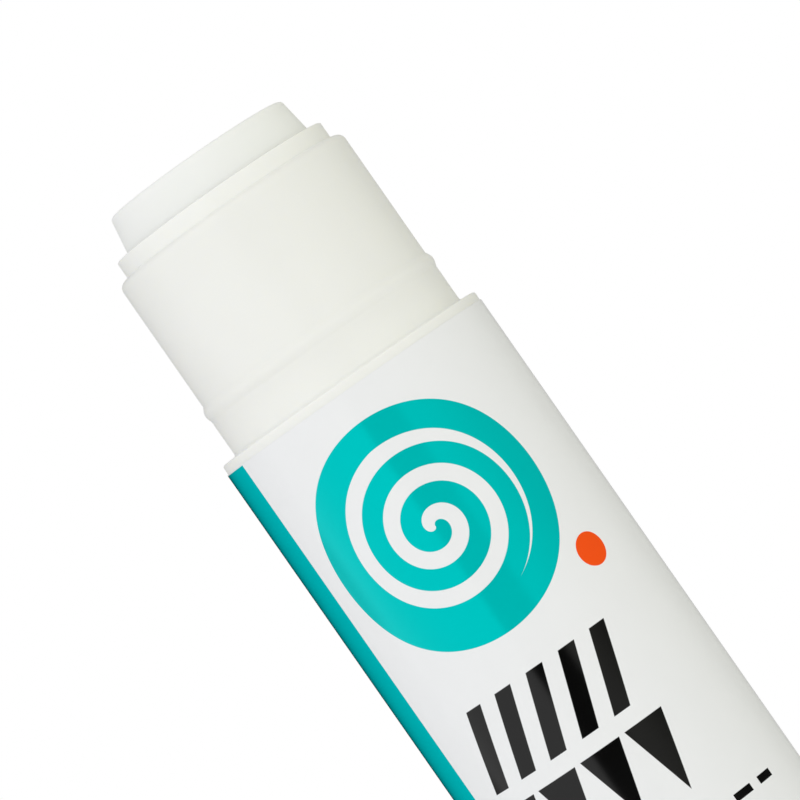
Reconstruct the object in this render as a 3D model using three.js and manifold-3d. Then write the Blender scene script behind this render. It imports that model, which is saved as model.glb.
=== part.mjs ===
// A twist-up glue stick with its cap off: a double-walled barrel with a wrapped label, the glue on its
// carrier, the lead screw that lifts the carrier, the knob that turns the screw, and the cap beside it.
// Millimetres, +Z up along the stick. The origin is the centre of the knob's flat bottom. -Y is the front.
// The carrier stands three quarters of a turn of the knob above its lowest place, so a little glue is out.

import * as THREE from 'three';
import { mergeVertices } from 'three/addons/utils/BufferGeometryUtils.js';
import Module from 'manifold-3d';

const wasm = await Module();
wasm.setup();

// Facets round the barrel and round the smaller pieces, and the corner steps of the round edges
const ROUND_FACETS = 60;
const SMALL_FACETS = 48;
const EDGE_STEPS = 3;

// How far a cutting shape runs past what it cuts
const CUT_REACH = 1;

// Barrel: an inner tube for the glue inside an outer wall, joined under the rim and open below
const boreRadius = 7.5;
const innerWall = 0.9;
const wallGap = 0.87;
const outerWall = 0.9;
const barrelLength = 55.7;
const rimEdge = 0.18;
const shoulderThickness = 1.6;
const webCount = 6;
const webThickness = 0.8;

// Neck that the cap slides over, its snap bead and the lip that seals in the cap. Above the bead the neck is
// a little narrower than below it.
const neckWall = 1.57;
const neckStep = 0.09;
const neckHeight = 13.76;
const neckEdge = 0.56;
const beadRise = 0.14;
const beadHeight = 3.39;
const beadLength = 1.2;
const lipWall = 0.7;
const lipHeight = 1.28;
const lipEdge = 0.12;

// Inner floor that carries the screw, and the skirt of the outer wall below it
const floorThickness = 1.2;
const skirtLength = 3.7;
const journalClearance = 0.2;

// Two guide ribs in the bore, which keep the carrier from turning
const guideWidth = 1.2;
const guideRise = 0.35;
const guideClearance = 0.15;

// Label: a film round the outer wall with a butt seam at the back
const labelThickness = 0.07;
const labelGap = 0.01;
const labelTopMargin = 0.69;
const labelFootMargin = 0.7;
const labelSeam = 0.4;

// Knob: a ribbed cup with a collar that turns inside the skirt, and a splined socket in its boss
const knobHeight = 10;
const knobGap = 0.3;
const knobEdge = 0.6;
const knobWall = 1.3;
const knobFloor = 1.4;
const gripCount = 36;
const gripRise = 0.4;
const gripBand = 1.5;
const gripShare = 0.55;
const collarClearance = 0.15;
const collarHeight = 3.5;
const bossWall = 1.5;
const knobWebCount = 4;
const knobWebHeight = 5;

// Lead screw: left-handed, so that turning the knob clockwise, seen from below, lifts the carrier
const HAND = -1;
const screwLead = 5;
const screwCoreRadius = 1.9;
const screwCrestRadius = 2.9;
const toothFoot = 2.4;
const toothCrest = 1;
const screwFlat = 2.3;
const screwSteps = 18;
const screwTipTaper = 1;
const screwTipRadius = 1.5;
const screwBelowLip = 12;
const flangeThickness = 1.2;
const flangeRise = 1.7;
const flangeClearance = 0.1;
const journalRise = 0.1;
const splineCount = 8;
const splineRise = 0.5;
const splineInset = 0.2;
const splineShare = 0.6;
const splineLength = 8;
const splineClearance = 0.06;

// Carrier: a cup with wiping edges, a nut hub and webs that key the glue
const carrierClearance = 0.15;
const wiperRise = 0.07;
const wiperLength = 0.8;
const cupWall = 0.8;
const cupFloor = 1.2;
const cupHeight = 6.4;
const hubWall = 1.15;
const hubHeight = 8;
const threadClearance = 0.2;
const keyCount = 4;
const keyThickness = 0.9;
const keyHeight = 2.4;
const carrierRestGap = 0.5;
const turnsOut = 0.75;
const nutGrip = 4;
const notchGrip = 3;

// Glue: cast in the bore round the screw, and drawn in to its worn end from a little below the lip
const glueClearance = 0.06;
const castGap = 0.05;
const glueReach = 2.78;
const taperBelowLip = 1;
const glueTopRadius = 6.93;
const glueEdge = 0.3;
const glueDome = 0.1;
const glueScrewGap = 0.3;

// Cap: slides over the neck to the rim, snaps over the bead and seals round the lip
const capTopThickness = 1.3;
const capHeadroom = 1.9;
const capEdge = 1.2;
const capDraft = 0.12;
const capSlip = 0.04;
const capLooseness = 0.15;
const snapLead = 0.5;
const sealClearance = 0.05;
const sealWall = 0.55;
const sealShoulderGap = 0.3;
const capCentre = new THREE.Vector2(-27, 0);

// Radii that follow from the bore and the walls round it
const innerTubeRadius = boreRadius + innerWall;
const gapOuterRadius = innerTubeRadius + wallGap;
const barrelRadius = gapOuterRadius + outerWall;
const neckRadius = boreRadius + neckWall;
const neckTopRadius = neckRadius - neckStep;
const lipRadius = boreRadius + lipWall;
const labelRadius = barrelRadius + labelGap + labelThickness;
const journalRadius = screwCrestRadius + journalRise;
const journalHoleRadius = journalRadius + journalClearance;
const splineRootRadius = journalRadius - splineRise - splineInset;
const carrierRadius = boreRadius - carrierClearance;
const cupInnerRadius = carrierRadius - cupWall;
const nutRadius = screwCrestRadius + threadClearance;
const hubRadius = nutRadius + hubWall;
const glueRadius = boreRadius - glueClearance;

// Heights from the knob's flat bottom
const barrelFoot = knobHeight + knobGap;
const floorBottom = barrelFoot + skirtLength;
const floorTop = floorBottom + floorThickness;
const rimHeight = barrelFoot + barrelLength;
const neckTop = rimHeight + neckHeight;
const lipTop = neckTop + lipHeight;
const flangeBottom = floorTop + flangeClearance;
const flangeTop = flangeBottom + flangeThickness;
const screwTop = lipTop - screwBelowLip;
const carrierLowest = flangeTop + carrierRestGap;
const carrierHighest = screwTop - nutGrip;
const carrierFoot = carrierLowest + turnsOut * screwLead;
const guideTop = carrierHighest + notchGrip;
const glueFoot = carrierFoot + cupFloor;
const glueTop = lipTop + glueReach;

// A corner of an outline, rounded: points from one tangent to the other, about the given centre
function arc(centreR, centreZ, radius, fromDegrees, toDegrees, steps = EDGE_STEPS) {
  const points = [];
  for (let i = 0; i <= steps; i++) {
    const angle = THREE.MathUtils.degToRad(fromDegrees + (toDegrees - fromDegrees) * i / steps);
    points.push([centreR + radius * Math.cos(angle), centreZ + radius * Math.sin(angle)]);
  }
  return points;
}

// An outline of [radius, height] points turned about the stick's axis. The outline runs up its outer side.
function revolve(outline, facets = ROUND_FACETS) {
  const closed = [...outline, outline[0]].map(([radius, height]) => new THREE.Vector2(radius, height));
  const geometry = new THREE.LatheGeometry(closed, facets);
  geometry.rotateX(Math.PI / 2);
  return solid(geometry);
}

// A flat outline of [x, y] points raised from one height to another
function prism(outline, fromHeight, toHeight, hole = null) {
  const shape = new THREE.Shape(outline.map(([x, y]) => new THREE.Vector2(x, y)));
  if (hole) {
    shape.holes.push(new THREE.Path(hole.map(([x, y]) => new THREE.Vector2(x, y))));
  }
  const geometry = new THREE.ExtrudeGeometry(shape, { depth: toHeight - fromHeight, bevelEnabled: false });
  geometry.translate(0, 0, fromHeight);
  return solid(geometry);
}

// A radial web between two radii, at an angle from +X, and as thick as given
function radialWeb(fromRadius, toRadius, thickness, fromHeight, toHeight, angle) {
  const geometry = new THREE.BoxGeometry(toRadius - fromRadius, thickness, toHeight - fromHeight);
  geometry.translate((fromRadius + toRadius) / 2, 0, (fromHeight + toHeight) / 2);
  geometry.rotateZ(angle);
  return solid(geometry);
}

// The same web repeated evenly round the axis
function webRing(count, fromRadius, toRadius, thickness, fromHeight, toHeight, startAngle = 0) {
  const webs = [];
  for (let i = 0; i < count; i++) {
    const angle = startAngle + 2 * Math.PI * i / count;
    webs.push(radialWeb(fromRadius, toRadius, thickness, fromHeight, toHeight, angle));
  }
  return webs;
}

function circle(radius, count) {
  const points = [];
  for (let i = 0; i < count; i++) {
    const angle = 2 * Math.PI * i / count;
    points.push([radius * Math.cos(angle), radius * Math.sin(angle)]);
  }
  return points;
}

// An outline with evenly spaced teeth that narrow towards their crests
function toothedOutline(rootRadius, crestRadius, count, footShare) {
  const points = [];
  const pitch = 2 * Math.PI / count;
  const halfFoot = pitch * footShare / 2;
  const halfCrest = halfFoot / 2;
  for (let i = 0; i < count; i++) {
    const middle = pitch * i;
    const corners = [
      [rootRadius, middle - halfFoot],
      [crestRadius, middle - halfCrest],
      [crestRadius, middle + halfCrest],
      [rootRadius, middle + halfFoot],
    ];
    for (const [radius, angle] of corners) {
      points.push([radius * Math.cos(angle), radius * Math.sin(angle)]);
    }
  }
  return points;
}

// A geometry's triangles as a closed solid, with shared corners merged and collapsed triangles left out
function solid(geometry) {
  const bare = geometry.clone();
  bare.deleteAttribute('normal');
  bare.deleteAttribute('uv');
  const merged = mergeVertices(bare, 1e-5);
  const triangles = [];
  for (let i = 0; i < merged.index.count; i += 3) {
    const [a, b, c] = [0, 1, 2].map((corner) => merged.index.getX(i + corner));
    if (a !== b && b !== c && c !== a) {
      triangles.push(a, b, c);
    }
  }
  return new wasm.Manifold(new wasm.Mesh({
    numProp: 3,
    vertProperties: merged.attributes.position.array,
    triVerts: Uint32Array.from(triangles),
  }));
}

// A core with one helical tooth round it. The grown tooth is wider on every side by the growth given.
// The tooth's middle passes through the -Y front at the given height.
function helicalTooth(fromHeight, toHeight, phaseHeight, growth = 0) {
  const core = screwCoreRadius + growth;
  const crest = screwCrestRadius + growth;
  const section = [
    [-toothFoot / 2 - growth, core],
    [-toothCrest / 2 - growth, crest],
    [toothCrest / 2 + growth, crest],
    [toothFoot / 2 + growth, core],
  ];
  const turnsBelow = Math.ceil((phaseHeight - fromHeight) / screwLead) + 1;
  const turns = turnsBelow + Math.ceil((toHeight - phaseHeight) / screwLead) + 1;
  const rows = turns * screwSteps;
  const start = phaseHeight - turnsBelow * screwLead;
  const positions = [];
  for (let row = 0; row <= rows; row++) {
    const angle = HAND * 2 * Math.PI * row / screwSteps - Math.PI / 2;
    const middle = start + screwLead * row / screwSteps;
    for (const [rise, radius] of section) {
      positions.push(radius * Math.cos(angle), radius * Math.sin(angle), middle + rise);
    }
  }
  const corners = section.length;
  const vertex = (row, corner) => row * corners + corner;
  const lowCentre = positions.length / 3;
  positions.push(0, 0, start);
  const highCentre = lowCentre + 1;
  positions.push(0, 0, start + screwLead * turns);

  const triangles = [];
  const triangle = (a, b, c) => (HAND > 0 ? triangles.push(a, b, c) : triangles.push(a, c, b));
  const quad = (a, b, c, d) => {
    triangle(a, b, c);
    triangle(a, c, d);
  };
  for (let row = 0; row < rows; row++) {
    for (let corner = 0; corner < corners - 1; corner++) {
      quad(vertex(row, corner), vertex(row + 1, corner),
        vertex(row + 1, corner + 1), vertex(row, corner + 1));
    }
    // The core shows between this turn's tooth and the next turn's
    if (row + screwSteps < rows) {
      quad(vertex(row, corners - 1), vertex(row + 1, corners - 1),
        vertex(row + 1 + screwSteps, 0), vertex(row + screwSteps, 0));
    }
  }
  for (let row = 0; row < screwSteps; row++) {
    triangle(lowCentre, vertex(row + 1, 0), vertex(row, 0));
    const high = rows - screwSteps + row;
    triangle(highCentre, vertex(high, corners - 1), vertex(high + 1, corners - 1));
  }
  for (let corner = 0; corner < corners - 1; corner++) {
    triangle(lowCentre, vertex(0, corner), vertex(0, corner + 1));
    triangle(highCentre, vertex(rows, corner + 1), vertex(rows, corner));
  }
  triangle(lowCentre, vertex(0, corners - 1), vertex(screwSteps, 0));
  triangle(highCentre, vertex(rows, 0), vertex(rows - screwSteps, corners - 1));

  return new wasm.Manifold(new wasm.Mesh({
    numProp: 3,
    vertProperties: Float32Array.from(positions),
    triVerts: Uint32Array.from(triangles),
  }));
}

// Barrel

function makeBarrel() {
  const gapTop = rimHeight - shoulderThickness;
  const beadMiddle = rimHeight + beadHeight;
  const bead = [];
  const beadSteps = 4;
  for (let i = 0; i <= beadSteps; i++) {
    const along = i / beadSteps;
    const foot = along < 0.5 ? neckRadius : neckTopRadius;
    const rise = neckRadius + beadRise - foot;
    bead.push([foot + rise * Math.sin(Math.PI * along), beadMiddle + beadLength * (along - 0.5)]);
  }
  const outline = [
    [journalHoleRadius, floorBottom],
    [innerTubeRadius, floorBottom],
    [innerTubeRadius, gapTop],
    [gapOuterRadius, gapTop],
    [gapOuterRadius, barrelFoot],
    [barrelRadius, barrelFoot],
    ...arc(barrelRadius - rimEdge, rimHeight - rimEdge, rimEdge, 0, 90),
    [neckRadius, rimHeight],
    ...bead,
    ...arc(neckTopRadius - neckEdge, neckTop - neckEdge, neckEdge, 0, 90),
    [lipRadius, neckTop],
    ...arc(lipRadius - lipEdge, lipTop - lipEdge, lipEdge, 0, 90, 2),
    [boreRadius, lipTop],
    [boreRadius, floorTop],
    [journalHoleRadius, floorTop],
  ];
  const overlap = innerWall / 2;
  const webs = webRing(webCount, innerTubeRadius - overlap, gapOuterRadius + overlap, webThickness,
    floorBottom, gapTop + overlap, Math.PI / webCount);
  const guides = webRing(2, boreRadius - guideRise, boreRadius + overlap, guideWidth,
    floorTop - floorThickness / 2, guideTop);
  let barrel = revolve(outline);
  for (const piece of [...webs, ...guides]) {
    barrel = barrel.add(piece);
  }
  return barrel;
}

// Label

function makeLabel() {
  const foot = barrelFoot + labelFootMargin;
  const top = rimHeight - labelTopMargin;
  const inside = barrelRadius + labelGap;
  const sleeve = revolve([
    [inside, foot],
    [labelRadius, foot],
    [labelRadius, top],
    [inside, top],
  ]);
  const seam = radialWeb(inside - CUT_REACH, labelRadius + CUT_REACH, labelSeam,
    foot - CUT_REACH, top + CUT_REACH, Math.PI / 2);
  return sleeve.subtract(seam);
}

// Knob

const bossRadius = journalRadius + bossWall;
const collarRadius = gapOuterRadius - collarClearance;
const collarTop = barrelFoot + collarHeight - knobGap;
const bossTop = floorBottom - flangeClearance;
const tailBottom = floorBottom - flangeClearance - splineLength;

function makeKnob() {
  const gripRoot = barrelRadius - gripRise;
  const underGrip = gripRoot - gripRise / 2;
  const collarInside = barrelRadius - knobWall - gripRise;
  const cup = revolve([
    [0, 0],
    ...arc(barrelRadius - knobEdge, knobEdge, knobEdge, -90, 0),
    [barrelRadius, gripBand],
    [underGrip, gripBand + barrelRadius - underGrip],
    [underGrip, knobHeight - gripBand - barrelRadius + underGrip],
    [barrelRadius, knobHeight - gripBand],
    ...arc(barrelRadius - rimEdge, knobHeight - rimEdge, rimEdge, 0, 90, 2),
    [collarRadius, knobHeight],
    [collarRadius, collarTop - rimEdge],
    [collarRadius - rimEdge, collarTop],
    [collarInside, collarTop],
    [collarInside, knobFloor],
    [bossRadius, knobFloor],
    [bossRadius, bossTop],
    [0, bossTop],
  ], SMALL_FACETS);
  const ribs = toothedOutline(gripRoot, barrelRadius, gripCount, gripShare);
  const grip = prism(ribs, gripBand, knobHeight - gripBand, circle(gripRoot - gripRise, SMALL_FACETS));
  const webs = webRing(knobWebCount, bossRadius - bossWall / 2, collarInside + knobWall / 2, webThickness,
    knobFloor / 2, knobFloor + knobWebHeight, Math.PI / knobWebCount);
  let knob = cup.add(grip);
  for (const web of webs) {
    knob = knob.add(web);
  }
  const socketRoot = splineRootRadius + splineClearance;
  const socketOutline = toothedOutline(socketRoot, socketRoot + splineRise, splineCount, splineShare);
  return knob.subtract(prism(socketOutline, tailBottom - knobGap, bossTop + CUT_REACH));
}

// Spindle

function makeSpindle() {
  const rod = revolve([
    [0, flangeTop - flangeThickness / 2],
    [screwCrestRadius + CUT_REACH, flangeTop - flangeThickness / 2],
    [screwCrestRadius + CUT_REACH, screwTop - screwTipTaper],
    [screwTipRadius, screwTop],
    [0, screwTop],
  ], 2 * screwSteps);
  const flats = new THREE.BoxGeometry(4 * screwCrestRadius, 2 * screwFlat, 2 * screwTop);
  const thread = helicalTooth(flangeBottom, screwTop, flangeTop).intersect(rod).intersect(solid(flats));
  const collar = revolve([
    [0, bossTop],
    [journalRadius, bossTop],
    [journalRadius, flangeBottom],
    [journalHoleRadius + flangeRise, flangeBottom],
    [journalHoleRadius + flangeRise, flangeTop - rimEdge],
    [journalHoleRadius + flangeRise - rimEdge, flangeTop],
    [0, flangeTop],
  ], 2 * screwSteps);
  const splines = toothedOutline(splineRootRadius, splineRootRadius + splineRise, splineCount, splineShare);
  const tail = prism(splines, tailBottom, bossTop + flangeClearance);
  return thread.add(collar).add(tail);
}

// Carrier, with its nut thread cut in mesh with the screw

function makeCarrier() {
  const cupTop = carrierFoot + cupHeight;
  const wiper = (low) => [
    [carrierRadius, low],
    [carrierRadius + wiperRise, low + wiperLength / 4],
    [carrierRadius + wiperRise, low + wiperLength * 3 / 4],
    [carrierRadius, low + wiperLength],
  ];
  const cup = revolve([
    [0, carrierFoot],
    ...wiper(carrierFoot),
    ...wiper(cupTop - wiperLength),
    [cupInnerRadius, cupTop],
    [cupInnerRadius, glueFoot],
    [hubRadius, glueFoot],
    [hubRadius, carrierFoot + hubHeight],
    [0, carrierFoot + hubHeight],
  ], SMALL_FACETS);
  const keys = webRing(keyCount, hubRadius - hubWall / 2, cupInnerRadius + cupWall / 2, keyThickness,
    glueFoot - cupFloor / 2, glueFoot + keyHeight, Math.PI / keyCount);
  let carrier = cup;
  for (const key of keys) {
    carrier = carrier.add(key);
  }
  const notchBottom = boreRadius - guideRise - guideClearance;
  const notches = webRing(2, notchBottom, boreRadius + CUT_REACH, guideWidth + 2 * guideClearance,
    carrierFoot - CUT_REACH, cupTop + CUT_REACH);
  for (const notch of notches) {
    carrier = carrier.subtract(notch);
  }
  const nut = helicalTooth(carrierFoot - CUT_REACH, carrierFoot + hubHeight + CUT_REACH,
    flangeTop, threadClearance);
  const leadInTop = carrierFoot + nutRadius - screwCoreRadius;
  const leadIn = revolve([
    [0, carrierFoot - CUT_REACH],
    [nutRadius + CUT_REACH, carrierFoot - CUT_REACH],
    [screwCoreRadius, leadInTop],
    [0, leadInTop],
  ], 2 * screwSteps);
  return carrier.subtract(nut).subtract(leadIn);
}

// Glue

function makeGlue() {
  const cupTop = carrierFoot + cupHeight;
  const hubTop = carrierFoot + hubHeight;
  const footRadius = cupInnerRadius - castGap;
  const screwHole = nutRadius + glueScrewGap;
  const holeTop = screwTop + turnsOut * screwLead + glueScrewGap;
  const taperTop = glueTop - glueEdge - glueDome;
  const body = revolve([
    [hubRadius + castGap, glueFoot],
    [footRadius, glueFoot],
    [footRadius, cupTop + castGap],
    [glueRadius, cupTop + castGap],
    [glueRadius, lipTop - taperBelowLip],
    ...arc(glueTopRadius - glueEdge, taperTop, glueEdge, 0, 90),
    [0, glueTop],
    [0, holeTop],
    [screwHole, holeTop],
    [screwHole, hubTop + castGap],
    [hubRadius + castGap, hubTop + castGap],
  ], SMALL_FACETS);
  const grooveBottom = boreRadius - guideRise - guideClearance;
  const grooves = webRing(2, grooveBottom, boreRadius + CUT_REACH, guideWidth + 2 * guideClearance,
    glueFoot - CUT_REACH, guideTop + turnsOut * screwLead + guideClearance);
  const keyways = webRing(keyCount, hubRadius, cupInnerRadius, keyThickness + 2 * castGap,
    glueFoot - CUT_REACH, glueFoot + keyHeight + castGap, Math.PI / keyCount);
  let glue = body;
  for (const cut of [...grooves, ...keyways]) {
    glue = glue.subtract(cut);
  }
  return glue;
}

// Cap, standing on its mouth

function makeCap() {
  const inside = neckTopRadius + capLooseness;
  const mouth = neckRadius + capSlip;
  const groove = neckRadius + beadRise + capSlip;
  const ceiling = neckHeight + lipHeight + capHeadroom;
  const top = ceiling + capTopThickness;
  const sealInside = lipRadius + sealClearance;
  const sealFoot = neckHeight + sealShoulderGap;
  return revolve([
    [mouth + snapLead / 2, 0],
    [labelRadius - rimEdge, 0],
    [labelRadius, rimEdge],
    ...arc(labelRadius - capDraft - capEdge, top - capEdge, capEdge, 0, 90, 4),
    [0, top],
    [0, ceiling],
    [sealInside, ceiling],
    [sealInside, sealFoot],
    [sealInside + sealWall, sealFoot],
    [sealInside + sealWall, ceiling],
    [inside, ceiling],
    [inside, beadHeight + beadLength],
    [groove, beadHeight + beadLength / 2],
    [groove, beadHeight - beadLength / 2],
    [mouth, beadHeight - beadLength],
    [mouth, snapLead],
  ], SMALL_FACETS);
}

// The named pieces, each with its own material

function piece(name, shape, { color, roughness, metalness = 0 }) {
  const { vertProperties, triVerts } = shape.getMesh();
  const geometry = new THREE.BufferGeometry();
  geometry.setAttribute('position', new THREE.BufferAttribute(Float32Array.from(vertProperties), 3));
  geometry.setIndex(new THREE.BufferAttribute(Uint32Array.from(triVerts), 1));
  geometry.computeVertexNormals();
  const mesh = new THREE.Mesh(geometry, new THREE.MeshStandardMaterial({ color, roughness, metalness }));
  mesh.name = name;
  return mesh;
}

const WHITE_PLASTIC = { color: 0xeceeea, roughness: 0.35 };
const PRINTED_FILM = { color: 0xf2f3f3, roughness: 0.3 };
const GLUE = { color: 0xe9ebe4, roughness: 0.5 };

const glueStick = new THREE.Group();

const barrel = new THREE.Group();
barrel.add(piece('barrel', makeBarrel(), WHITE_PLASTIC));
barrel.add(piece('label', makeLabel(), PRINTED_FILM));

const turningPart = new THREE.Group();
turningPart.add(piece('knob', makeKnob(), WHITE_PLASTIC));
turningPart.add(piece('spindle', makeSpindle(), WHITE_PLASTIC));

const risingPart = new THREE.Group();
risingPart.add(piece('carrier', makeCarrier(), WHITE_PLASTIC));
risingPart.add(piece('glue', makeGlue(), GLUE));

const cap = piece('cap', makeCap(), WHITE_PLASTIC);
cap.position.set(capCentre.x, capCentre.y, 0);

glueStick.add(barrel, turningPart, risingPart, cap);

export default glueStick;
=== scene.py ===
# The looks of a twist-up glue stick with its cap off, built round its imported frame.
# Blender works in metres; sizes here are in millimetres and are turned into metres by MM.
# +Z runs up the stick and the front of the label faces -Y.

import math

import bmesh
import bpy
from mathutils import Matrix, Vector


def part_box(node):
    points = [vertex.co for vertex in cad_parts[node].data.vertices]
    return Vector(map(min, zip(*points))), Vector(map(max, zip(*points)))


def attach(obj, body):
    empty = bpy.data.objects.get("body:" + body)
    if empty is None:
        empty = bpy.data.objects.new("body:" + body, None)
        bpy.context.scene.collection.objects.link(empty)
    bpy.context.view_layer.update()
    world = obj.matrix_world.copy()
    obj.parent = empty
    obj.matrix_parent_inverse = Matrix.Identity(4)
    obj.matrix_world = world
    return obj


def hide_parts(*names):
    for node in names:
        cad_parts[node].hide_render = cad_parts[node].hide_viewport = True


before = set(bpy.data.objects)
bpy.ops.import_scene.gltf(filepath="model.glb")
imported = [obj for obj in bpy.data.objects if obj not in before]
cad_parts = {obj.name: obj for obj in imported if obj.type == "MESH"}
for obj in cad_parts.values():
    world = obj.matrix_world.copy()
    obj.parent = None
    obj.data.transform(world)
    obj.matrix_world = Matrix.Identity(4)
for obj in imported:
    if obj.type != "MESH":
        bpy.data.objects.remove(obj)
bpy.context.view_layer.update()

MM = 0.001


def box_mm(node):
    """A CAD node's lowest and highest corners in millimetres."""
    low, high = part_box(node)
    return low / MM, high / MM


barrel_low, barrel_high = box_mm("barrel")
label_low, label_high = box_mm("label")
glue_low, glue_high = box_mm("glue")
cap_low, cap_high = box_mm("cap")
knob_top = box_mm("knob")[1].z

# Barrel, neck and lip
NECK_HEIGHT = 13.76
LIP_HEIGHT = 1.28
BORE_RADIUS = 7.5
INNER_WALL = 0.9
WALL_GAP = 0.87
SHOULDER_THICKNESS = 1.6
SKIRT_LENGTH = 3.7
FLOOR_THICKNESS = 1.2
JOURNAL_HOLE_RADIUS = 3.2
NECK_WALL = 1.57
NECK_STEP = 0.09
NECK_EDGE = 0.56
RIM_EDGE = 0.18
LIP_WALL = 0.7
LIP_EDGE = 0.12
BEAD_HEIGHT = 3.39
BEAD_RISE = 0.14
BEAD_LENGTH = 1.2
BEAD_SHARPNESS = 1.15
GUIDE_RISE = 0.35
GUIDE_WIDTH = 1.2
GUIDE_CLEARANCE = 0.15
GUIDE_BELOW_LIP = 13.0
WEB_COUNT = 6
WEB_THICKNESS = 0.8
INNER_ROUND = 0.25
SHARP_EDGE = 0.1

lip_top = barrel_high.z
neck_top = lip_top - LIP_HEIGHT
rim = neck_top - NECK_HEIGHT
barrel_radius = barrel_high.x
floor_bottom = barrel_low.z + SKIRT_LENGTH
floor_top = floor_bottom + FLOOR_THICKNESS
guide_top = lip_top - GUIDE_BELOW_LIP
neck_radius = BORE_RADIUS + NECK_WALL
neck_top_radius = neck_radius - NECK_STEP
lip_radius = BORE_RADIUS + LIP_WALL

# Facets round a piece, and steps along a curved outline
ROUND = 256
BEAD_STEPS = 16
END_STEPS = 8
GRIP_STEPS = 40

# Points nearer than MERGED are one point, and a length under TINY is none. An edge bent more than CREASE is
# drawn crisp. A cutting shape reaches OVERSHOOT outside the piece that it cuts.
MERGED = 1e-5
TINY = 1e-6
CREASE = math.radians(28)
OVERSHOOT = 1.0


# Mesh building

def fillet(corner, before, after, radius, steps=6):
    """The points of a round corner between two straight sides of an outline."""
    a = (Vector(before) - Vector(corner)).normalized()
    b = (Vector(after) - Vector(corner)).normalized()
    half = a.angle(b) / 2
    reach = radius / math.tan(half)
    centre = Vector(corner) + (a + b).normalized() * radius / math.sin(half)
    start = Vector(corner) + a * reach - centre
    end = Vector(corner) + b * reach - centre
    turn = start.angle(end)
    if start.x * end.y - start.y * end.x < 0:
        turn = -turn
    points = []
    for i in range(steps + 1):
        angle = turn * i / steps
        c, s = math.cos(angle), math.sin(angle)
        points.append((centre.x + c * start.x - s * start.y, centre.y + s * start.x + c * start.y))
    return points


def rounded(outline):
    """An outline of (radius, height, corner radius) points as plain (radius, height) points."""
    points = []
    for i, (r, z, edge) in enumerate(outline):
        if edge > 0:
            before = outline[i - 1][:2]
            after = outline[(i + 1) % len(outline)][:2]
            points += fillet((r, z), before, after, edge)
        else:
            points.append((r, z))
    return points


def mesh_object(name, build):
    """A smooth-shaded mesh object with crisp edges, made by a function that fills a bmesh in millimetres."""
    bm = bmesh.new()
    build(bm)
    bmesh.ops.remove_doubles(bm, verts=bm.verts, dist=MERGED)
    bmesh.ops.dissolve_degenerate(bm, dist=TINY, edges=bm.edges)
    bmesh.ops.recalc_face_normals(bm, faces=bm.faces)
    bmesh.ops.scale(bm, vec=(MM, MM, MM), verts=bm.verts)
    mesh = bpy.data.meshes.new(name)
    bm.to_mesh(mesh)
    bm.free()
    mesh.shade_smooth()
    mesh.set_sharp_from_angle(angle=CREASE)
    obj = bpy.data.objects.new(name, mesh)
    bpy.context.scene.collection.objects.link(obj)
    return obj


def revolve(bm, outline, facets=ROUND, centre=(0, 0), radius_at=None):
    """Turns a closed outline of (radius, height) points about a vertical line."""
    rings = []
    for r, z in outline:
        if r < TINY:
            rings.append([bm.verts.new((centre[0], centre[1], z))] * facets)
            continue
        ring = []
        for i in range(facets):
            angle = 2 * math.pi * i / facets
            reach = radius_at(r, z, angle) if radius_at else r
            x = centre[0] + reach * math.cos(angle)
            y = centre[1] + reach * math.sin(angle)
            ring.append(bm.verts.new((x, y, z)))
        rings.append(ring)
    for k in range(len(rings)):
        low, high = rings[k], rings[(k + 1) % len(rings)]
        for i in range(facets):
            corners = [low[i], low[(i + 1) % facets], high[(i + 1) % facets], high[i]]
            corners = [v for n, v in enumerate(corners) if v not in corners[:n]]
            if len(corners) >= 3:
                bm.faces.new(corners)


def halfway(i, count):
    """The angle halfway between two neighbours of a number of even places round the axis."""
    return math.pi * (2 * i + 1) / count


def web(bm, inner, outer, thickness, low, high, angle):
    """A box that runs outward between two radii, in the direction of an angle."""
    made = bmesh.ops.create_cube(bm, size=1)["verts"]
    bmesh.ops.scale(bm, vec=(outer - inner, thickness, high - low), verts=made)
    bmesh.ops.translate(bm, vec=((inner + outer) / 2, 0, (low + high) / 2), verts=made)
    bmesh.ops.rotate(bm, matrix=Matrix.Rotation(angle, 3, "Z"), verts=made)


def combine(obj, name, build, operation):
    """Joins a second shape to a piece, or cuts it away, and leaves a plain mesh."""
    tool = mesh_object(name, build)
    modifier = obj.modifiers.new(name, "BOOLEAN")
    modifier.operation = operation
    modifier.solver = "EXACT"
    modifier.object = tool
    depsgraph = bpy.context.evaluated_depsgraph_get()
    mesh = bpy.data.meshes.new_from_object(obj.evaluated_get(depsgraph))
    obj.modifiers.clear()
    obj.data = mesh
    bpy.data.objects.remove(tool)
    mesh.shade_smooth()
    mesh.set_sharp_from_angle(angle=CREASE)


# Materials

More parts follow.
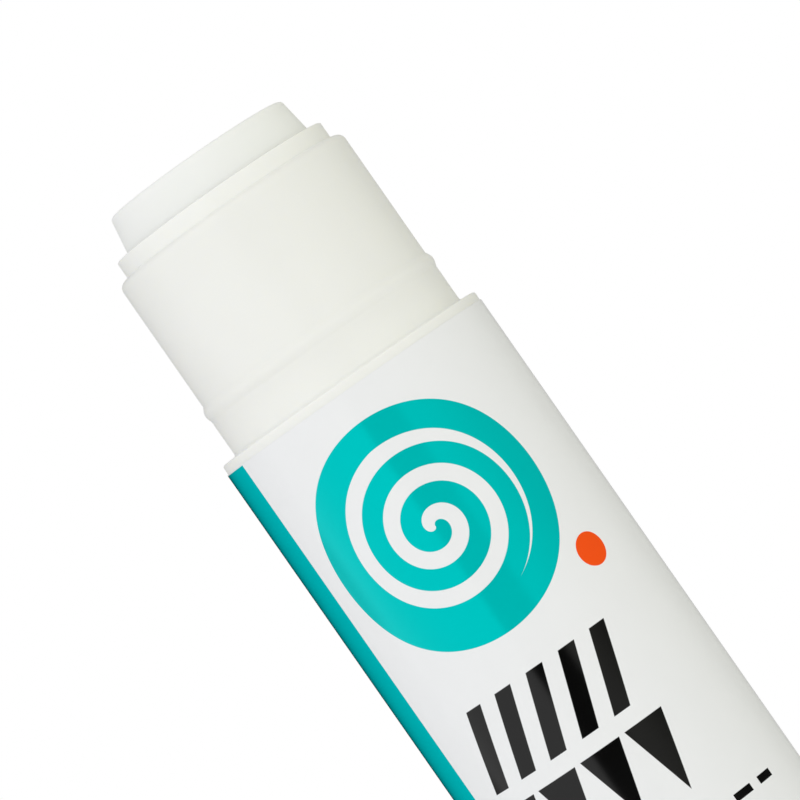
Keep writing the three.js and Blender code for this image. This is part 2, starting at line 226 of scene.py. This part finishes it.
class Nodes:
    """Short calls for building a material's or the world's node tree."""

    def __init__(self, tree):
        self.tree = tree
        tree.nodes.clear()

    def add(self, kind, inputs=None, **settings):
        node = self.tree.nodes.new(kind)
        for name, value in settings.items():
            setattr(node, name, value)
        for key, value in (inputs or {}).items():
            self.put(node.inputs[key], value)
        return node

    def put(self, socket, value):
        if isinstance(value, bpy.types.NodeSocket):
            self.tree.links.new(value, socket)
        else:
            socket.default_value = value

    def math(self, operation, *values, clamp=False):
        inputs = dict(enumerate(values))
        return self.add("ShaderNodeMath", inputs, operation=operation, use_clamp=clamp).outputs[0]

    def mix(self, factor, a, b):
        """Two colours mixed. The node's colour sockets are inputs 6 and 7 and output 2."""
        node = self.add("ShaderNodeMix", {"Factor": factor}, data_type="RGBA")
        self.put(node.inputs[6], a)
        self.put(node.inputs[7], b)
        return node.outputs[2]

    def scaled(self, colour, share):
        """A colour at a share of its brightness, where either can change over the surface."""
        inputs = {0: colour, "Scale": share}
        return self.add("ShaderNodeVectorMath", inputs, operation="SCALE").outputs[0]

    def clouded(self, colour, **noise):
        """A colour with faint clouds in it."""
        return self.mix(self.noise(**noise), shade(colour, CLOUDS[0]), shade(colour, CLOUDS[1]))

    def bump(self, scale, depth, strength, detail=2.0):
        """A normal for a surface that a noise makes uneven by a depth in millimetres."""
        height = self.noise(scale, detail=detail)
        inputs = {"Height": height, "Distance": depth * MM, "Strength": strength}
        return self.add("ShaderNodeBump", inputs).outputs["Normal"]

    def surface(self, shader):
        """Ends a material with its shader."""
        output = self.add("ShaderNodeOutputMaterial")
        self.put(output.inputs["Surface"], shader)

    def noise(self, scale, detail=2.0, roughness=0.5):
        """A smooth noise from 0 to 1 that stays with the piece. Its scale is about its waves to the metre."""
        place = self.add("ShaderNodeTexCoord").outputs["Object"]
        inputs = {"Vector": place, "Scale": scale, "Detail": detail, "Roughness": roughness}
        return self.add("ShaderNodeTexNoise", inputs).outputs["Fac"]

    def span(self, value, low, high):
        """A 0 to 1 value spread over a range."""
        inputs = {"Value": value, "To Min": low, "To Max": high}
        return self.add("ShaderNodeMapRange", inputs).outputs["Result"]

    def ramp(self, value, low, high, to_low=0.0, to_high=1.0):
        """A smooth step from one level to another as a value goes from low to high."""
        inputs = {"Value": value, "From Min": low, "From Max": high, "To Min": to_low, "To Max": to_high}
        return self.add("ShaderNodeMapRange", inputs, interpolation_type="SMOOTHSTEP").outputs["Result"]


def new_material(name, kind=Nodes):
    """A material, and what builds its node tree."""
    material = bpy.data.materials.new(name)
    material.use_nodes = True
    return material, kind(material.node_tree)


def shade(colour, share):
    """A colour at a share of its brightness."""
    return tuple(c * share for c in colour[:3]) + (1.0,)


WHITE = (1.0, 1.0, 1.0, 1.0)
PLASTIC_COLOUR = (0.868, 0.874, 0.846, 1.0)
FILM_WHITE = (0.860, 0.870, 0.886, 1.0)
TEAL = (0.0, 0.532, 0.520, 1.0)
PANEL_TEAL = (0.0, 0.611, 0.640, 1.0)
BLACK = (0.001, 0.001, 0.001, 1.0)
ORANGE = (0.950, 0.090, 0.008, 1.0)
GLUE_COLOUR = (0.870, 0.882, 0.866, 1.0)

# The shares of a colour between which faint clouds change it
CLOUDS = (0.985, 1.01)

# How much the barrel's colour is painted lighter at its lip and below its snap bead, as painted light against
# the shade that the ledges cast there, and how far each step is spread
LIP_PAINTED_LIGHT = 0.04
LIP_SPREAD = 0.1
LOWER_PAINTED_LIGHT = 0.02
LOWER_SPREAD = 0.3


def barrel_painted_light(n, base):
    """A colour painted lighter at the lip and below the bead: painted light against the shade that the ledges
    cast there.
    """
    where = n.add("ShaderNodeTexCoord").outputs["Object"]
    height = n.add("ShaderNodeSeparateXYZ", {0: where}).outputs["Z"]
    bead = rim + BEAD_HEIGHT
    painted_lip_light = n.ramp(height, (neck_top - LIP_SPREAD) * MM, (neck_top + LIP_SPREAD) * MM, 1.0, 1 + LIP_PAINTED_LIGHT)
    painted_lower_light = n.ramp(height, (bead - LOWER_SPREAD) * MM, (bead + LOWER_SPREAD) * MM, 1 + LOWER_PAINTED_LIGHT, 1.0)
    return n.scaled(base, n.math("MULTIPLY", painted_lip_light, painted_lower_light))


# How far the roughness of the plastic swings either way
GLOSS_SWING = 0.03


def moulded_plastic(name, roughness, grain_depth, glow=None):
    """Satin off-white polypropylene: faint cloudiness, a fine mould grain and a little light inside."""
    material, n = new_material(name)
    base = n.clouded(PLASTIC_COLOUR, scale=180.0, detail=3.0)
    # Where glow is given, it paints light into the base colour
    if glow:
        base = glow(n, base)
    gloss = n.span(n.noise(scale=900.0), roughness - GLOSS_SWING, roughness + GLOSS_SWING)
    grain = n.bump(scale=4200.0, depth=grain_depth, strength=0.35)
    plastic = n.add("ShaderNodeBsdfPrincipled", {
        "Base Color": base, "Roughness": gloss, "Normal": grain, "IOR": 1.49,
        "Subsurface Weight": 0.2, "Subsurface Radius": (1.0, 0.95, 0.75), "Subsurface Scale": 0.6 * MM,
    })
    n.surface(plastic.outputs[0])
    return material


def solid_glue(name):
    """Waxy off-white adhesive: soft gloss, faint clouds and a barely uneven cast surface."""
    material, n = new_material(name)
    base = n.clouded(GLUE_COLOUR, scale=260.0, detail=4.0, roughness=0.6)
    gloss = n.span(n.noise(scale=700.0, detail=3.0), low=0.42, high=0.56)
    swell = n.bump(scale=420.0, depth=0.04, strength=0.5, detail=3.0)
    wax = n.add("ShaderNodeBsdfPrincipled", {
        "Base Color": base, "Roughness": gloss, "Normal": swell, "IOR": 1.42,
        "Subsurface Weight": 0.3, "Subsurface Radius": (1.0, 1.0, 0.9), "Subsurface Scale": 1.0 * MM,
    })
    n.surface(wax.outputs[0])
    return material


# Label print, drawn in millimetres round the label (from the front, to the right) and down from the rim

PANEL_EDGE = -10.80
PANEL_TOP = 0.75
BADGE_PLACE = (-0.76, 11.2)
BADGE_RADIUS = 8.3
SWIRL = {"pitch": 2.6, "turns": 2.45, "width": 1.15}
DOT_PLACE = (7.3, 18.2)
DOT_RADIUS = 1.2
MARGIN = -9.1
BARS = {"left": MARGIN, "right": 3.6, "top": 22.3, "foot": 27.9, "width": 1.3, "pitch": 2.54, "lean": 0.35}
FLAGS = {"left": MARGIN, "right": 4.9, "top": 29.1, "foot": 34.6, "pitch": 3.5, "share": 0.88}
DASHES = {"left": MARGIN, "right": -MARGIN, "middle": 36.8, "length": 1.6, "gap": 0.8, "width": 0.55}
PRINT_BLUR = 0.035

# The panel's ink lies under a varnish that lets through this share of the light straight on and less at a
# slant, so the panel darkens toward the stick's outline
PANEL_VARNISH = {"Coat Weight": 1.0, "Coat IOR": 1.0, "Coat Tint": (0.865, 0.865, 0.865, 1.0)}

# The badge's ink shines strongly, in its own colour
BADGE_SHEEN = {"IOR": 2.1, "Specular Tint": (0.0, 1.0, 1.0, 1.0)}


class Print(Nodes):
    """Shapes drawn on the label, as distances in millimetres to their outlines, negative inside them."""

    def __init__(self, tree):
        super().__init__(tree)
        where = self.add("ShaderNodeTexCoord").outputs["Object"]
        parts = self.add("ShaderNodeSeparateXYZ", {0: where}).outputs
        forward = self.math("MULTIPLY", parts["Y"], -1.0)
        angle = self.math("ARCTAN2", parts["X"], forward)
        self.across = self.math("MULTIPLY", angle, label_high.x)
        self.down = self.math("MULTIPLY_ADD", parts["Z"], -1 / MM, rim)

    def length(self, x, y):
        """How long a step is that goes x one way and y the other."""
        return self.math("SQRT", self.math("ADD", self.math("POWER", x, 2.0), self.math("POWER", y, 2.0)))

    def box(self, left, right, top, foot, across=None):
        """A box that stands straight on the label, or follows another measure across it."""
        out = []
        for value, low, high in ((across or self.across, left, right), (self.down, top, foot)):
            off = self.math("ABSOLUTE", self.math("SUBTRACT", value, (low + high) / 2))
            out.append(self.math("SUBTRACT", off, (high - low) / 2))
        outside = self.length(*[self.math("MAXIMUM", o, 0.0) for o in out])
        inside = self.math("MINIMUM", self.math("MAXIMUM", *out), 0.0)
        return self.math("ADD", outside, inside)

    def polar(self, across, down):
        """The distance from a point and the angle round it."""
        x = self.math("SUBTRACT", self.across, across)
        y = self.math("SUBTRACT", self.down, down)
        return self.length(x, y), self.math("ARCTAN2", y, x)

    def disc(self, across, down, radius):
        return self.math("SUBTRACT", self.polar(across, down)[0], radius)

    def spiral(self, across, down, pitch, turns, width):
        """A line that winds out from a point by one pitch a turn."""
        radius, angle = self.polar(across, down)
        turned = self.math("DIVIDE", angle, 2 * math.pi)
        phase = self.math("SUBTRACT", self.math("DIVIDE", radius, pitch), turned)
        off = self.math("ABSOLUTE", self.math("SUBTRACT", self.math("FRACT", phase), 0.5))
        line = self.math("SUBTRACT", self.math("MULTIPLY", off, pitch), width / 2)
        return self.math("MAXIMUM", line, self.math("SUBTRACT", radius, pitch * turns))

    def bars(self, left, right, top, foot, width, pitch, lean):
        """A row of upright bars that lean to one side."""
        shift = self.math("MULTIPLY", self.math("SUBTRACT", self.down, foot), lean)
        along = self.math("SUBTRACT", self.math("ADD", self.across, shift), left)
        step = self.math("SUBTRACT", self.math("FRACT", self.math("DIVIDE", along, pitch)), 0.5)
        off = self.math("MULTIPLY", self.math("ABSOLUTE", step), pitch)
        stroke = self.math("SUBTRACT", off, width / 2)
        ends = self.box(0, right - left, top, foot, along)
        return self.math("MAXIMUM", stroke, ends)

    def flags(self, left, right, top, foot, pitch, share):
        """A row of triangles that hang point down, each as wide as a share of the pitch."""
        along = self.math("SUBTRACT", self.across, left)
        step = self.math("SUBTRACT", self.math("FRACT", self.math("DIVIDE", along, pitch)), 0.5)
        off = self.math("MULTIPLY", self.math("ABSOLUTE", step), pitch)
        half = share * pitch / 2
        slant = half / (foot - top)
        reach = self.math("MULTIPLY", self.math("SUBTRACT", foot, self.down), slant)
        side = self.math("MULTIPLY", self.math("SUBTRACT", off, reach), math.cos(math.atan(slant)))
        ends = self.box(left, right, top, foot)
        return self.math("MAXIMUM", side, ends)

    def dashes(self, left, right, middle, length, gap, width):
        """A dashed line round the label."""
        step = self.math("FRACT", self.math("DIVIDE", self.math("SUBTRACT", self.across, left), length + gap))
        along = self.math("MULTIPLY", step, length + gap)
        ends = self.math("SUBTRACT", along, length)
        bounds = self.box(left, right, middle - width / 2, middle + width / 2)
        return self.math("MAXIMUM", ends, bounds)

    def cover(self, distance):
        """1 inside a shape and 0 outside it, with a soft printed edge."""
        return self.math("MULTIPLY_ADD", distance, -1 / PRINT_BLUR, 0.5, clamp=True)


def printed_film(name):
    """Glossy white film: a teal panel, a teal badge, an orange dot and rows of black shapes."""
    material, n = new_material(name, Print)
    panel = n.math("MAXIMUM", n.math("SUBTRACT", n.across, PANEL_EDGE), n.math("SUBTRACT", PANEL_TOP, n.down))
    badge = n.disc(*BADGE_PLACE, BADGE_RADIUS)
    swirl = n.spiral(*BADGE_PLACE, **SWIRL)
    teal = n.math("MAXIMUM", badge, n.math("MULTIPLY", swirl, -1.0))
    dot = n.disc(*DOT_PLACE, DOT_RADIUS)
    black = n.math("MINIMUM", n.bars(**BARS), n.flags(**FLAGS))
    black = n.math("MINIMUM", black, n.dashes(**DASHES))

    gloss = n.span(n.noise(scale=600.0), low=0.12, high=0.16)
    ripple = n.bump(scale=90.0, depth=0.05, strength=0.2)
    wear = n.span(n.noise(scale=350.0, detail=3.0), *CLOUDS)

    def ink(colour, shine, extra=None):
        """The shader of one ink, or of the bare film."""
        inputs = {"Base Color": n.scaled(colour[:3], wear), "Specular IOR Level": shine}
        inputs.update({"Roughness": gloss, "Normal": ripple})
        inputs.update(extra or {})
        return n.add("ShaderNodeBsdfPrincipled", inputs).outputs[0]

    surface = ink(FILM_WHITE, shine=0.2)
    for distance, layer in (
        (panel, ink(PANEL_TEAL, shine=0.0, extra=PANEL_VARNISH)),
        (teal, ink(TEAL, shine=0.5, extra=BADGE_SHEEN)),
        (dot, ink(ORANGE, shine=0.3)),
        (black, ink(BLACK, shine=0.5)),
    ):
        surface = n.add("ShaderNodeMixShader", {0: n.cover(distance), 1: surface, 2: layer}).outputs[0]
    n.surface(surface)
    return material


barrel_plastic = moulded_plastic("barrel_plastic", roughness=0.32, grain_depth=0.01, glow=barrel_painted_light)
knob_plastic = moulded_plastic("knob_plastic", roughness=0.34, grain_depth=0.015)
cap_plastic = moulded_plastic("cap_plastic", roughness=0.32, grain_depth=0.01)
inner_plastic = moulded_plastic("inner_plastic", roughness=0.36, grain_depth=0.01)
glue_material = solid_glue("glue_wax")
label_material = printed_film("label_print")


def place(obj, material, body, node, slot):
    """Gives a piece its material and the body it moves with, and hides the CAD node that it stands for. The
    slot is not used.
    """
    obj.data.materials.clear()
    obj.data.materials.append(material)
    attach(obj, body)
    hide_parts(node)


# Barrel

def bead_outline():
    """The snap bead round the neck, which is a little narrower above it than below."""
    points = []
    for i in range(BEAD_STEPS + 1):
        along = i / BEAD_STEPS
        foot = neck_radius if along < 0.5 else neck_top_radius
        rise = neck_radius + BEAD_RISE - foot
        height = rim + BEAD_HEIGHT + BEAD_LENGTH * (along - 0.5)
        points.append((foot + rise * math.sin(math.pi * along) ** BEAD_SHARPNESS, height, 0))
    return points


def build_barrel(bm):
    inner = BORE_RADIUS + INNER_WALL
    gap_outer = inner + WALL_GAP
    gap_top = rim - SHOULDER_THICKNESS
    revolve(bm, rounded([
        (JOURNAL_HOLE_RADIUS, floor_bottom, SHARP_EDGE),
        (inner, floor_bottom, SHARP_EDGE),
        (inner, gap_top, WALL_GAP / 3),
        (gap_outer, gap_top, WALL_GAP / 3),
        (gap_outer, barrel_low.z, SHARP_EDGE),
        (barrel_radius, barrel_low.z, SHARP_EDGE),
        (barrel_radius, rim, RIM_EDGE),
        (neck_radius, rim, INNER_ROUND),
        *bead_outline(),
        (neck_top_radius, neck_top, NECK_EDGE),
        (lip_radius, neck_top, INNER_ROUND / 2),
        (lip_radius, lip_top, LIP_EDGE),
        (BORE_RADIUS, lip_top, SHARP_EDGE),
        (BORE_RADIUS, floor_top, SHARP_EDGE),
        (JOURNAL_HOLE_RADIUS, floor_top, SHARP_EDGE),
    ]))


def build_barrel_ribs(bm):
    overlap = INNER_WALL / 2
    inner = BORE_RADIUS + INNER_WALL
    for i in range(WEB_COUNT):
        web(bm, inner - overlap, inner + WALL_GAP + overlap, WEB_THICKNESS, floor_bottom + SHARP_EDGE,
            rim - SHOULDER_THICKNESS + overlap, halfway(i, WEB_COUNT))
    for angle in (0, math.pi):
        web(bm, BORE_RADIUS - GUIDE_RISE, BORE_RADIUS + overlap, GUIDE_WIDTH, floor_top - overlap,
            guide_top, angle)


barrel = mesh_object("barrel_shell", build_barrel)
combine(barrel, "barrel_ribs", build_barrel_ribs, "UNION")
place(barrel, barrel_plastic, "barrel_body", "barrel", "barrel_plastic")


# Label

LABEL_GAP = 0.01
LABEL_SEAM = 0.4


def build_label(bm):
    inside = barrel_radius + LABEL_GAP
    revolve(bm, [
        (inside, label_low.z),
        (label_high.x, label_low.z),
        (label_high.x, label_high.z),
        (inside, label_high.z),
    ])


def build_seam(bm):
    web(bm, barrel_radius - OVERSHOOT, label_high.x + OVERSHOOT, LABEL_SEAM, label_low.z - OVERSHOOT,
        label_high.z + OVERSHOOT, math.pi / 2)


label = mesh_object("label_wrap", build_label)
combine(label, "label_seam", build_seam, "DIFFERENCE")
place(label, label_material, "barrel_body", "label", "label_film")


# Glue

GLUE_CLEARANCE = 0.06
GLUE_TOP_RADIUS = 6.93
GLUE_EDGE = 0.3
GLUE_DOME = 0.1
TAPER_BELOW_LIP = 1.0

# The carrier and the screw that the glue is cast round. At rest the carrier is REST_RISE above its lowest
# place.
CAST_GAP = 0.05
CUP_INNER_RADIUS = 6.55
CUP_FLOOR = 1.2
CUP_HEIGHT = 6.4
HUB_RADIUS = 4.25
HUB_HEIGHT = 8.0
SCREW_HOLE_RADIUS = 3.4
SCREW_BELOW_LIP = 12.0
REST_RISE = 3.75
SCREW_GAP = 0.3
KEY_COUNT = 4
KEY_THICKNESS = 0.9
KEY_HEIGHT = 2.4

screw_top = lip_top - SCREW_BELOW_LIP
groove_bottom = BORE_RADIUS - GUIDE_RISE - GUIDE_CLEARANCE


def build_glue(bm):
    radius = BORE_RADIUS - GLUE_CLEARANCE
    foot = glue_low.z
    carrier_foot = foot - CUP_FLOOR
    cup_top = carrier_foot + CUP_HEIGHT + CAST_GAP
    hub_top = carrier_foot + HUB_HEIGHT + CAST_GAP
    hole_top = screw_top + REST_RISE + SCREW_GAP
    taper_top = glue_high.z - GLUE_EDGE - GLUE_DOME
    flat_radius = GLUE_TOP_RADIUS - GLUE_EDGE
    end = [(GLUE_TOP_RADIUS, taper_top)]
    for i in range(1, END_STEPS + 1):
        angle = math.pi / 2 * i / END_STEPS
        end.append((flat_radius + GLUE_EDGE * math.cos(angle), taper_top + GLUE_EDGE * math.sin(angle)))
    for i in range(1, END_STEPS):
        inward = 1 - i / END_STEPS
        end.append((flat_radius * inward, glue_high.z - GLUE_DOME * inward ** 2))
    revolve(bm, [
        (HUB_RADIUS + CAST_GAP, foot),
        (CUP_INNER_RADIUS - CAST_GAP, foot),
        (CUP_INNER_RADIUS - CAST_GAP, cup_top),
        (radius, cup_top),
        (radius, lip_top - TAPER_BELOW_LIP),
        *end,
        (0, glue_high.z),
        (0, hole_top),
        (SCREW_HOLE_RADIUS, hole_top),
        (SCREW_HOLE_RADIUS, hub_top),
        (HUB_RADIUS + CAST_GAP, hub_top),
    ])


def build_glue_cuts(bm):
    foot = glue_low.z
    for angle in (0, math.pi):
        web(bm, groove_bottom, BORE_RADIUS + OVERSHOOT, GUIDE_WIDTH + 2 * GUIDE_CLEARANCE, foot - OVERSHOOT,
            guide_top + REST_RISE + GUIDE_CLEARANCE, angle)
    for i in range(KEY_COUNT):
        web(bm, HUB_RADIUS, CUP_INNER_RADIUS, KEY_THICKNESS + 2 * CAST_GAP, foot - OVERSHOOT,
            foot + KEY_HEIGHT + CAST_GAP, halfway(i, KEY_COUNT))


glue = mesh_object("glue_stick", build_glue)
combine(glue, "glue_cuts", build_glue_cuts, "DIFFERENCE")
place(glue, glue_material, "carrier_body", "glue", "glue")


# Knob

GRIP_COUNT = 36
GRIP_RISE = 0.4
GRIP_BAND = 1.5
GRIP_VALLEY = 0.7
KNOB_HEIGHT = 10.0
KNOB_EDGE = 0.6
KNOB_WALL = 1.3
KNOB_FLOOR = 1.4
BOSS_RADIUS = 4.5
KNOB_WEB_COUNT = 4
KNOB_WEB_HEIGHT = 5.0
KNOB_WEB_INTO_BOSS = 0.7
KNOB_WEB_INTO_WALL = 0.6
COLLAR_CLEARANCE = 0.15
BOSS_CLEARANCE = 0.1
SPLINE_COUNT = 8
SOCKET_ROOT = 2.36
SPLINE_RISE = 0.5
SPLINE_SHARE = 0.6
SOCKET_DEPTH = 8.3
KNOB_FACETS = GRIP_COUNT * 12

collar_radius = BORE_RADIUS + INNER_WALL + WALL_GAP - COLLAR_CLEARANCE
collar_inside = barrel_radius - KNOB_WALL - GRIP_RISE
boss_top = floor_bottom - BOSS_CLEARANCE


def grip_radius(r, z, angle):
    """The knob's side, drawn in between its grip ribs. The rest of its outline stays round."""
    if r < barrel_radius - MERGED:
        return r
    ramp = min(z - GRIP_BAND, KNOB_HEIGHT - GRIP_BAND - z) / (2 * GRIP_RISE)
    ramp = min(1, max(0, ramp))
    valley = 0.5 - 0.5 * math.cos(GRIP_COUNT * angle)
    return r - GRIP_RISE * valley ** GRIP_VALLEY * ramp * ramp * (3 - 2 * ramp)


def build_knob(bm):
    side = []
    for i in range(GRIP_STEPS + 1):
        side.append((barrel_radius, GRIP_BAND + (KNOB_HEIGHT - 2 * GRIP_BAND) * i / GRIP_STEPS, 0))
    revolve(bm, rounded([
        (0, 0, 0),
        (barrel_radius, 0, KNOB_EDGE),
        *side,
        (barrel_radius, KNOB_HEIGHT, RIM_EDGE),
        (collar_radius, KNOB_HEIGHT, SHARP_EDGE),
        (collar_radius, knob_top, RIM_EDGE),
        (collar_inside, knob_top, SHARP_EDGE),
        (collar_inside, KNOB_FLOOR, SHARP_EDGE),
        (BOSS_RADIUS, KNOB_FLOOR, SHARP_EDGE),
        (BOSS_RADIUS, boss_top, SHARP_EDGE),
        (0, boss_top, 0),
    ]), KNOB_FACETS, radius_at=grip_radius)


def build_knob_webs(bm):
    inner = BOSS_RADIUS - KNOB_WEB_INTO_BOSS
    outer = collar_inside + KNOB_WEB_INTO_WALL
    for i in range(KNOB_WEB_COUNT):
        web(bm, inner, outer, WEB_THICKNESS, KNOB_FLOOR / 2, KNOB_FLOOR + KNOB_WEB_HEIGHT,
            halfway(i, KNOB_WEB_COUNT))


def build_socket(bm):
    """The splined hole for the spindle's tail."""
    crest = SOCKET_ROOT + SPLINE_RISE
    tooth = ((SOCKET_ROOT, -0.5), (crest, -0.25), (crest, 0.25), (SOCKET_ROOT, 0.5))
    outline = []
    for i in range(SPLINE_COUNT):
        for radius, side in tooth:
            angle = 2 * math.pi / SPLINE_COUNT * (i + SPLINE_SHARE * side)
            outline.append((radius * math.cos(angle), radius * math.sin(angle)))
    low, high = boss_top - SOCKET_DEPTH, boss_top + OVERSHOOT
    foot = [bm.verts.new((x, y, low)) for x, y in outline]
    head = [bm.verts.new((x, y, high)) for x, y in outline]
    bm.faces.new(foot[::-1])
    bm.faces.new(head)
    for i in range(len(outline)):
        j = (i + 1) % len(outline)
        bm.faces.new((foot[i], foot[j], head[j], head[i]))


knob = mesh_object("knob_wheel", build_knob)
combine(knob, "knob_webs", build_knob_webs, "UNION")
combine(knob, "knob_socket", build_socket, "DIFFERENCE")
place(knob, knob_plastic, "knob_body", "knob", "knob_plastic")


# Cap

CAP_TOP = 1.3
CAP_EDGE = 1.2
CAP_DRAFT = 0.12
CAP_LOOSENESS = 0.15
CAP_SLIP = 0.04
SNAP_LEAD = 0.5
SEAL_CLEARANCE = 0.05
SEAL_WALL = 0.55
SEAL_GAP = 0.3
SEAL_ROUND = 0.05


def build_cap(bm):
    centre = ((cap_low.x + cap_high.x) / 2, (cap_low.y + cap_high.y) / 2)
    outside = (cap_high.x - cap_low.x) / 2
    top = cap_high.z
    ceiling = top - CAP_TOP
    seal_foot = NECK_HEIGHT + SEAL_GAP
    inside = neck_top_radius + CAP_LOOSENESS
    mouth = neck_radius + CAP_SLIP
    groove = mouth + BEAD_RISE
    seal_inside = lip_radius + SEAL_CLEARANCE
    seal_outside = seal_inside + SEAL_WALL
    revolve(bm, rounded([
        (mouth + SNAP_LEAD / 2, 0, SHARP_EDGE),
        (outside, 0, RIM_EDGE),
        (outside - CAP_DRAFT, top, CAP_EDGE),
        (0, top, 0),
        (0, ceiling, 0),
        (seal_inside, ceiling, SHARP_EDGE),
        (seal_inside, seal_foot, SHARP_EDGE),
        (seal_outside, seal_foot, SHARP_EDGE),
        (seal_outside, ceiling, SEAL_ROUND),
        (inside, ceiling, SEAL_ROUND),
        (inside, BEAD_HEIGHT + BEAD_LENGTH, 0),
        (groove, BEAD_HEIGHT + BEAD_LENGTH / 2, 0),
        (groove, BEAD_HEIGHT - BEAD_LENGTH / 2, 0),
        (mouth, BEAD_HEIGHT - BEAD_LENGTH, 0),
        (mouth, SNAP_LEAD, 0),
    ]), centre=centre)


cap = mesh_object("cap_shell", build_cap)
place(cap, cap_plastic, "cap_body", "cap", "cap_plastic")


# Pieces that stay as CAD solids, hidden inside the barrel

for node in ("spindle", "carrier"):
    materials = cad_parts[node].data.materials
    materials.clear()
    materials.append(inner_plastic)


# Floor, light and camera

# The floor lies a hair below the pieces, so that it doesn't share a plane with their undersides
FLOOR_RADIUS = 240.0
FLOOR_DROP = 0.01
FLOOR_TONES = (0.86, 0.88)


def build_floor(bm):
    bmesh.ops.create_circle(bm, cap_ends=True, segments=ROUND // 2, radius=FLOOR_RADIUS)
    bmesh.ops.translate(bm, vec=(0, 0, -FLOOR_DROP), verts=bm.verts)


def floor_material():
    material, n = new_material("studio_floor")
    tone = n.mix(n.noise(scale=40.0), shade(WHITE, FLOOR_TONES[0]), shade(WHITE, FLOOR_TONES[1]))
    matt = n.add("ShaderNodeBsdfPrincipled", {"Base Color": tone, "Roughness": 0.6})
    n.surface(matt.outputs[0])
    return material


floor = mesh_object("studio_floor", build_floor)
floor.data.materials.append(floor_material())

# The room's light is white all round, brightest ahead and a little to the left of the label, faintly warm to
# the right, and stronger in a band above the horizon than below it or overhead. Its reflections show a large
# soft box to the left, a weaker one to the right, a dark gap between them, and a dim glow behind. Angles are
# in degrees from the label's front, to the right. A pair says where a level starts to change and where it has
# changed: by the upward part of the direction for the band, and by the angle for the rest.
ROOM_MEAN = 0.893
ROOM_SWING = 0.295
ROOM_FRONT = -12.5
ROOM_BAND = 0.44
BAND_FOOT = (-0.15, 0.15)
BAND_TOP = (0.40, 0.85)
ROOM_WARM = (1.0, 1.0, 0.87, 1.0)
LEFT_BOX_START = (-97.0, -85.0)
LEFT_BOX_END = (-12.5, -9.5)
RIGHT_BOX_START = (16.0, 21.0)
RIGHT_BOX_END = (21.0, 75.0)
LEFT_LEVEL = 0.75
RIGHT_LEVEL = 0.42
GAP_LEVEL = 0.02
LEFT_BACK = (-60.0, -110.0)
RIGHT_BACK = (125.0, 160.0)
LEFT_BACK_LEVEL = 0.35
RIGHT_BACK_LEVEL = 0.40


def build_world():
    world = bpy.data.worlds.new("studio_room")
    world.use_nodes = True
    bpy.context.scene.world = world
    n = Nodes(world.node_tree)
    way = n.add("ShaderNodeTexCoord").outputs["Generated"]
    parts = n.add("ShaderNodeSeparateXYZ", {0: way}).outputs
    ahead = n.math("MULTIPLY", parts["Y"], -1.0)
    angle = n.math("DEGREES", n.math("ARCTAN2", parts["X"], ahead))

    front = (math.sin(math.radians(ROOM_FRONT)), -math.cos(math.radians(ROOM_FRONT)), 0.0)
    toward = n.add("ShaderNodeVectorMath", {0: way, 1: front}, operation="DOT_PRODUCT").outputs["Value"]
    level = n.math("MULTIPLY_ADD", toward, ROOM_SWING, ROOM_MEAN)
    band = n.math("MULTIPLY", n.ramp(parts["Z"], *BAND_FOOT), n.ramp(parts["Z"], *BAND_TOP, 1.0, 0.0))
    level = n.math("MULTIPLY_ADD", n.math("SUBTRACT", band, 0.5), ROOM_BAND, level)
    tint = n.mix(n.span(parts["X"], 0.0, 1.0), WHITE, ROOM_WARM)
    room = n.add("ShaderNodeBackground", {"Color": tint, "Strength": level})

    left = n.math("MULTIPLY", n.ramp(angle, *LEFT_BOX_START), n.ramp(angle, *LEFT_BOX_END, 1.0, 0.0))
    right = n.math("MULTIPLY", n.ramp(angle, *RIGHT_BOX_START), n.ramp(angle, *RIGHT_BOX_END, 1.0, 0.0))
    left_back = n.ramp(angle, *LEFT_BACK, 0.0, LEFT_BACK_LEVEL)
    right_back = n.ramp(angle, *RIGHT_BACK, 0.0, RIGHT_BACK_LEVEL)
    glow = n.math("ADD", left_back, right_back)
    glow = n.math("ADD", glow, GAP_LEVEL)
    glow = n.math("MULTIPLY_ADD", left, LEFT_LEVEL, glow)
    glow = n.math("MULTIPLY_ADD", right, RIGHT_LEVEL, glow)
    mirrored = n.add("ShaderNodeBackground", {"Color": tint, "Strength": glow})

    backdrop = n.add("ShaderNodeBackground", {"Color": WHITE, "Strength": 1.0})
    path = n.add("ShaderNodeLightPath").outputs
    lit = n.add("ShaderNodeMixShader", {0: path["Is Glossy Ray"], 1: room.outputs[0], 2: mirrored.outputs[0]})
    both = n.add("ShaderNodeMixShader", {0: path["Is Camera Ray"], 1: lit.outputs[0], 2: backdrop.outputs[0]})
    output = n.add("ShaderNodeOutputWorld")
    n.put(output.inputs["Surface"], both.outputs[0])


build_world()

# The photograph's view: close to square on, from a little below the rim, turned so the tip points up and
# left. Its scale is in pixels to the millimetre.
CAMERA_DISTANCE = 388.0
CAMERA_BELOW_RIM = 6.71
AIM_BELOW_RIM = 3.10
AIM_RIGHT = 2.01
CAMERA_ROLL = 34.89
PHOTO_SCALE = 15.07
PHOTO_WIDTH = 800


def build_camera():
    data = bpy.data.cameras.new("photo_camera")
    data.sensor_width = 36
    data.lens = data.sensor_width * CAMERA_DISTANCE * PHOTO_SCALE / PHOTO_WIDTH
    data.clip_start = 0.01
    data.clip_end = 10
    camera = bpy.data.objects.new("photo_camera", data)
    location = Vector((AIM_RIGHT, -CAMERA_DISTANCE, rim - CAMERA_BELOW_RIM)) * MM
    aim = Vector((AIM_RIGHT, 0, rim - AIM_BELOW_RIM)) * MM
    turn = (aim - location).to_track_quat("-Z", "Y").to_matrix().to_4x4()
    roll = Matrix.Rotation(math.radians(-CAMERA_ROLL), 4, "Z")
    camera.matrix_world = Matrix.Translation(location) @ turn @ roll
    bpy.context.scene.collection.objects.link(camera)
    bpy.context.scene.camera = camera


build_camera()
bpy.context.scene.view_settings.view_transform = "Standard"
bpy.context.scene.view_settings.look = "None"
